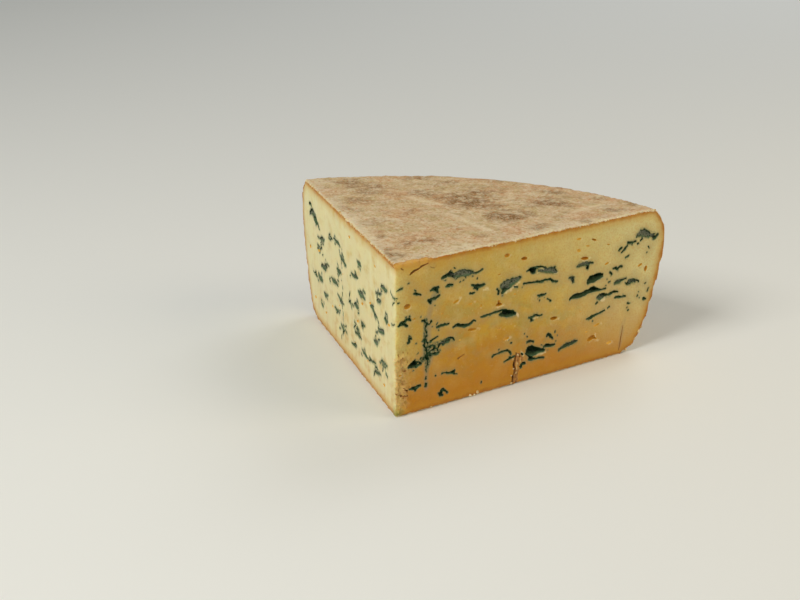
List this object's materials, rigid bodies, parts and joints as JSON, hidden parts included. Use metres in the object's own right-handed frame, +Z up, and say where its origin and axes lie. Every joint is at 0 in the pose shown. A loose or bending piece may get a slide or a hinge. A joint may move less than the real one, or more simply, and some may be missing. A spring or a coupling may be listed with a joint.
{
  "type": "blue cheese wedge",
  "caption": "Wedge cut from a flat wheel of firm blue cheese, with blue-veined cut faces, small eyes and a natural rind; rests on its flat base.",
  "frame": {"origin": "on the resting plane, under the middle of the wedge's bounding box", "axes": "+Z up; the tip of the wedge points to -Y and its curved heel to +Y; the two cut faces lean symmetrically to -X and +X"},
  "size_m": [0.2202, 0.1844, 0.0816],
  "materials": {
    "cheese": "semi-matt golden paste veined with blue-green mould, under a dry beige-brown natural rind"
  },
  "bodies": {
    "root": {"cheese_wedge": "cheese"}
  },
  "joints": []
}
